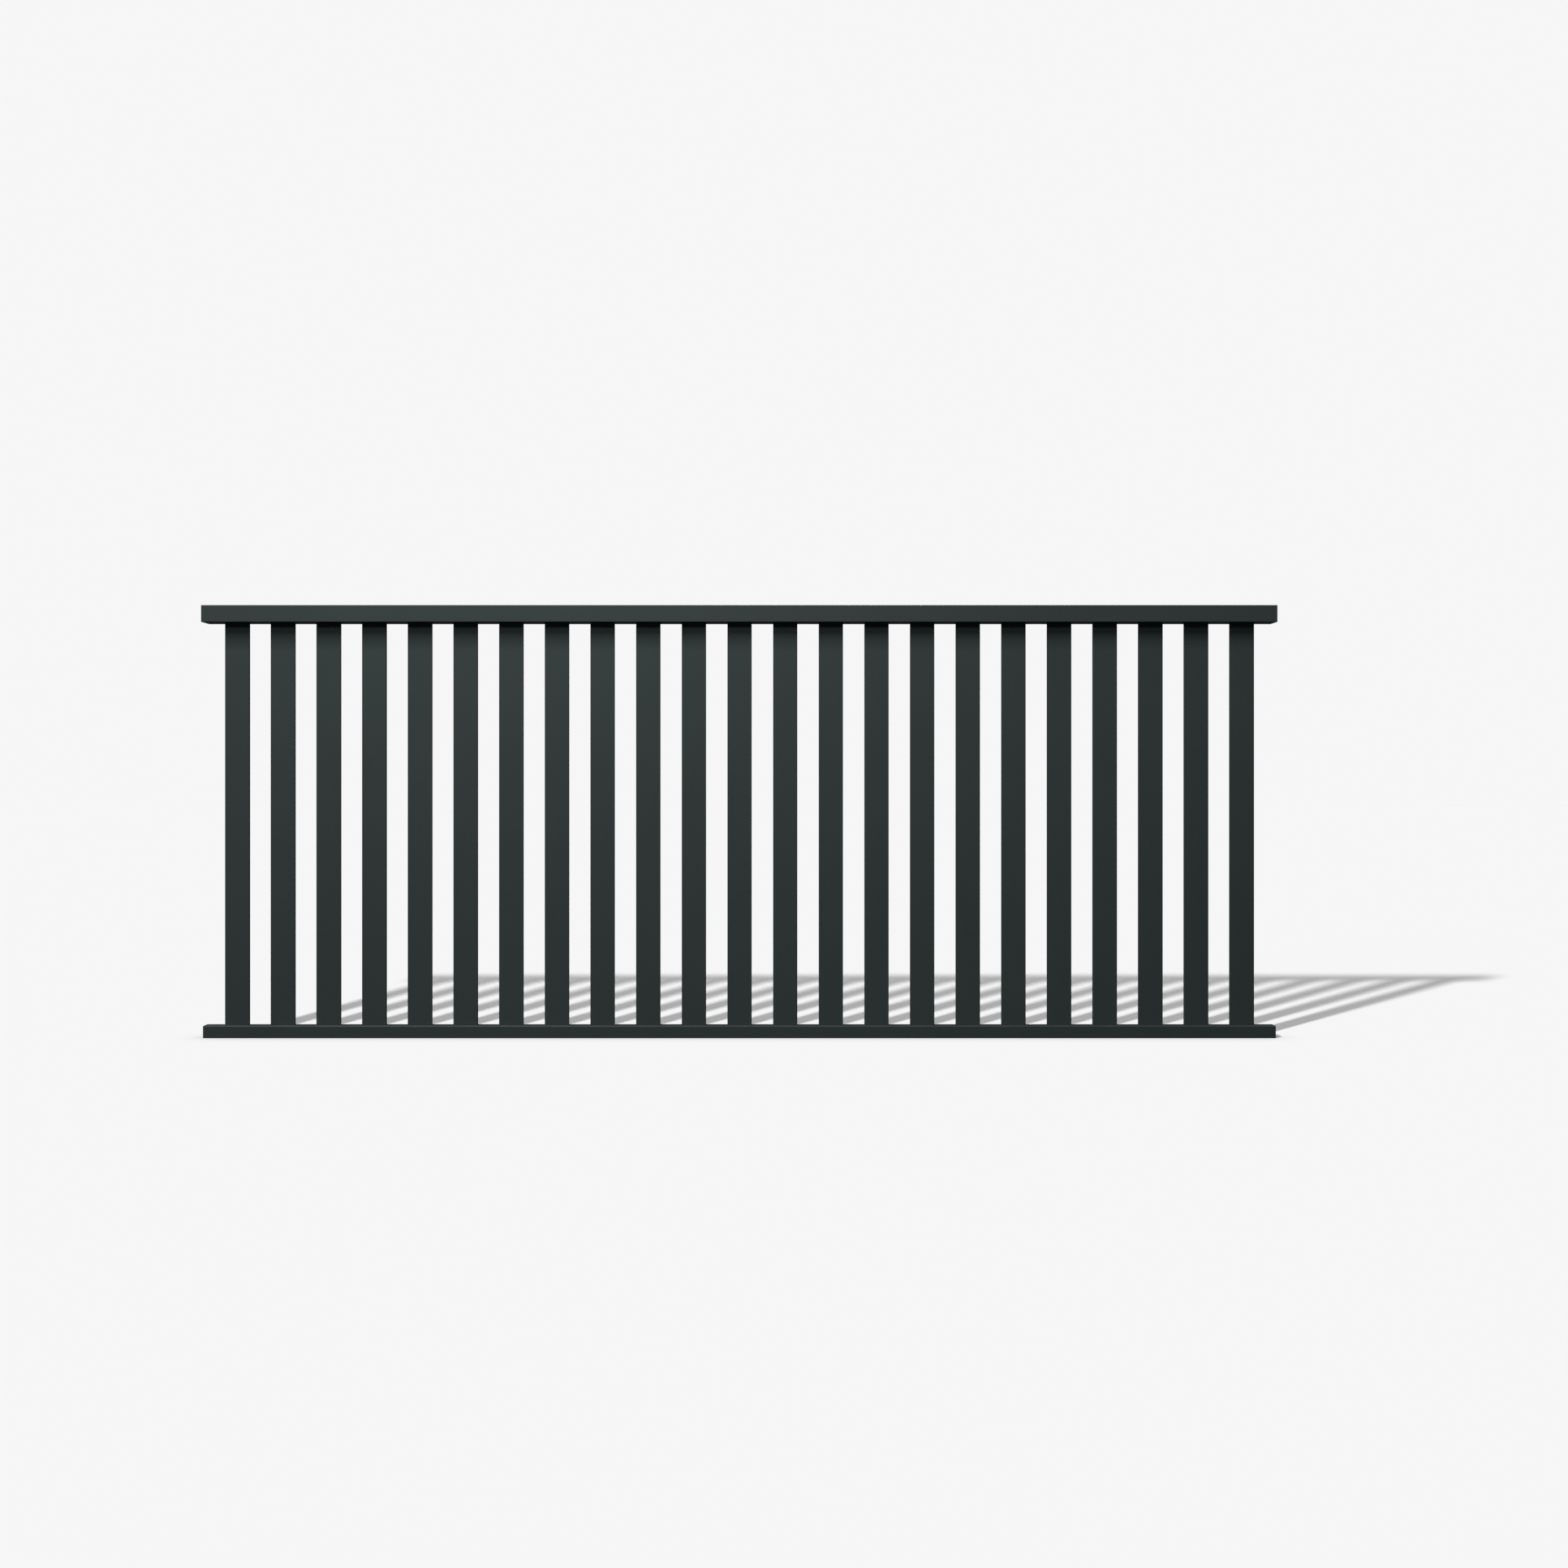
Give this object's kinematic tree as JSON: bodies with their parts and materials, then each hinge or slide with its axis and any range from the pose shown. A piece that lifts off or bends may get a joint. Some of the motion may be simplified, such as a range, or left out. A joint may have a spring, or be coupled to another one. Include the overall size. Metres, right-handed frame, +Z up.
{
  "type": "pool handrail",
  "caption": "Slatted aluminium pool balustrade panel: flat handrail over upright flat slats on a slotted base rail, with hidden floor fixings.",
  "frame": {"origin": "on the floor, under the middle of the panel", "axes": "+X along the rails, +Y through the panel from front to back, +Z up; the front faces -Y"},
  "size_m": [2.646, 0.08, 1.067],
  "materials": {
    "powder_coat": "matte",
    "stainless_steel": "satin",
    "zinc_plate": "satin"
  },
  "bodies": {
    "root": {"handrail_cover": "powder_coat", "slat_carrier": "powder_coat", "handrail_cap_left": "powder_coat", "handrail_cap_right": "powder_coat", "slat_01": "powder_coat", "slat_02": "powder_coat", "slat_03": "powder_coat", "slat_04": "powder_coat", "slat_05": "powder_coat", "slat_06": "powder_coat", "slat_07": "powder_coat", "slat_08": "powder_coat", "slat_09": "powder_coat", "slat_10": "powder_coat", "slat_11": "powder_coat", "slat_12": "powder_coat", "slat_13": "powder_coat", "slat_14": "powder_coat", "slat_15": "powder_coat", "slat_16": "powder_coat", "slat_17": "powder_coat", "slat_18": "powder_coat", "slat_19": "powder_coat", "slat_20": "powder_coat", "slat_21": "powder_coat", "slat_22": "powder_coat", "slat_23": "powder_coat", "base_rail": "powder_coat", "base_cap_left": "powder_coat", "base_cap_right": "powder_coat", "handrail_cap_screws": "stainless_steel", "cover_lock_screws": "stainless_steel", "upper_slat_screws": "stainless_steel", "lower_slat_screws": "stainless_steel", "base_cap_screws": "stainless_steel", "anchor_nuts": "zinc_plate"}
  },
  "joints": []
}
